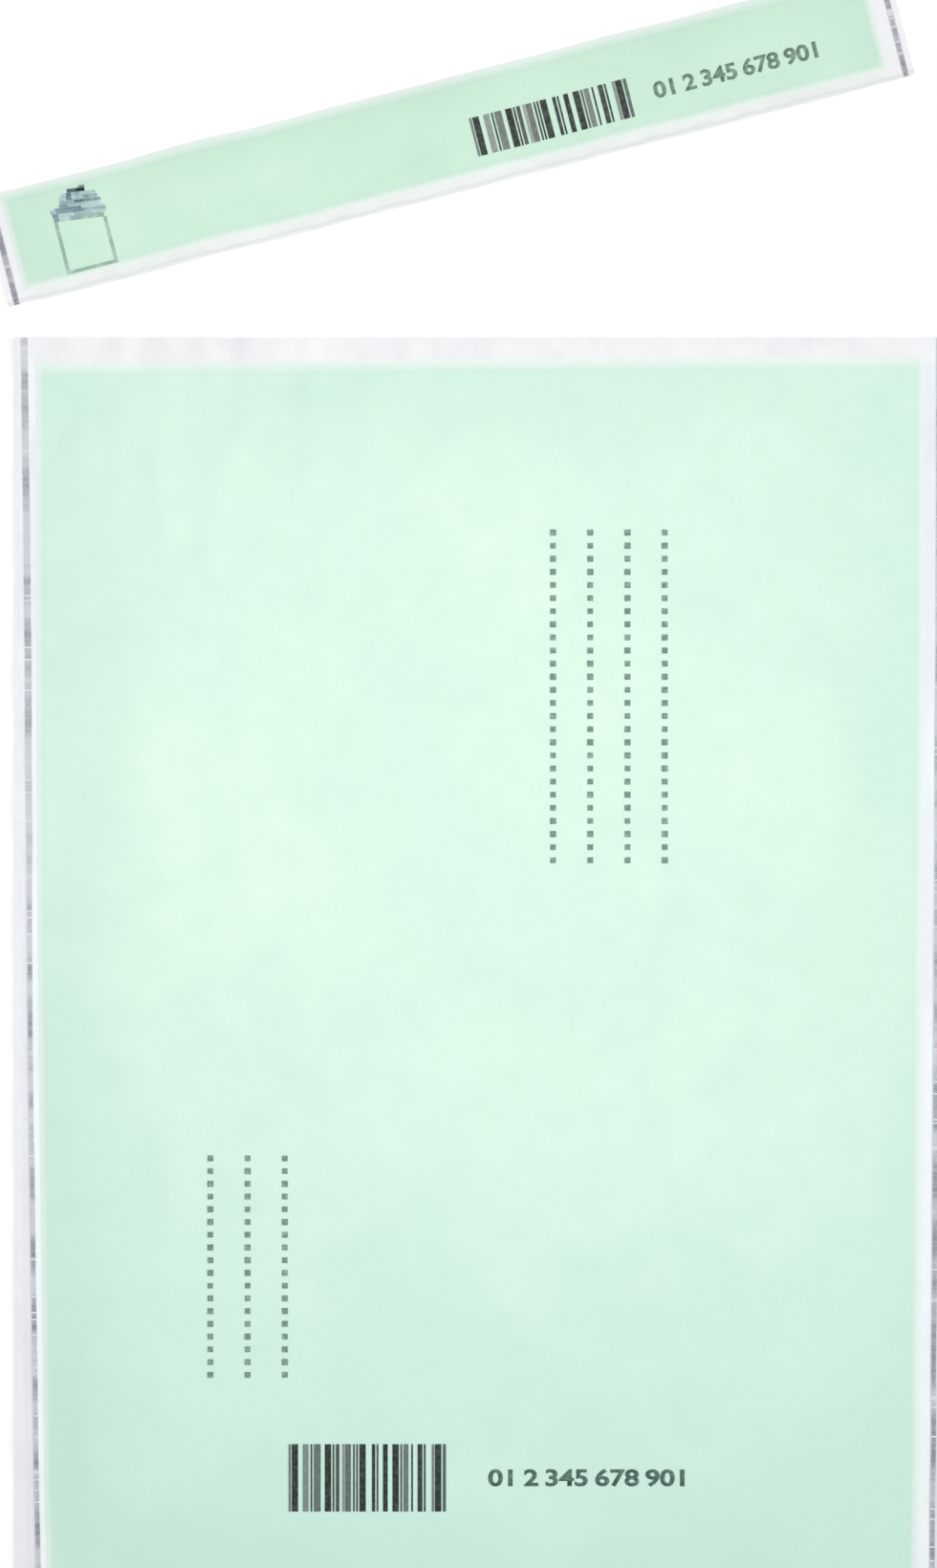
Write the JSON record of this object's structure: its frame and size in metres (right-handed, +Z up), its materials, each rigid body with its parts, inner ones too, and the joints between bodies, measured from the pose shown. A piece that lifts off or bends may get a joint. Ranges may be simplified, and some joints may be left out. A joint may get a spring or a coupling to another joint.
{
  "type": "security envelope",
  "caption": "Flat film security pouch with welded sides, a pale printed field with dotted writing lines and a bar code, and its torn-off receipt strip beside it.",
  "frame": {"origin": "middle of the pouch's flat underside, on the surface that it lies on", "axes": "+Z up, out of the printed front; +Y from the pouch's bottom to its top edge and the receipt strip; +X to the right of the printed front"},
  "size_m": [0.2589, 0.4526, 0.0028],
  "materials": {
    "film_white": "satin polyethylene film",
    "field_green": "satin film printed pale green",
    "receipt_green": "satin film printed pale green",
    "seam_grey": "pressed weld line showing the dark inner film",
    "dot_grey": "grey-green ink on film",
    "bar_black": "black ink on film",
    "pictogram_blue": "grey-blue ink on film"
  },
  "bodies": {
    "root": {"pouch": "film_white", "pouch_colour_field": "field_green", "pouch_left_seam": "seam_grey", "pouch_right_seam": "seam_grey", "address_line_1": "dot_grey", "address_line_2": "dot_grey", "address_line_3": "dot_grey", "address_line_4": "dot_grey", "sender_line_1": "dot_grey", "sender_line_2": "dot_grey", "sender_line_3": "dot_grey", "pouch_barcode": "bar_black", "receipt_strip": "film_white", "receipt_colour_field": "receipt_green", "receipt_left_seam": "seam_grey", "receipt_right_seam": "seam_grey", "receipt_barcode": "bar_black", "receipt_pictogram": "pictogram_blue"}
  },
  "joints": []
}
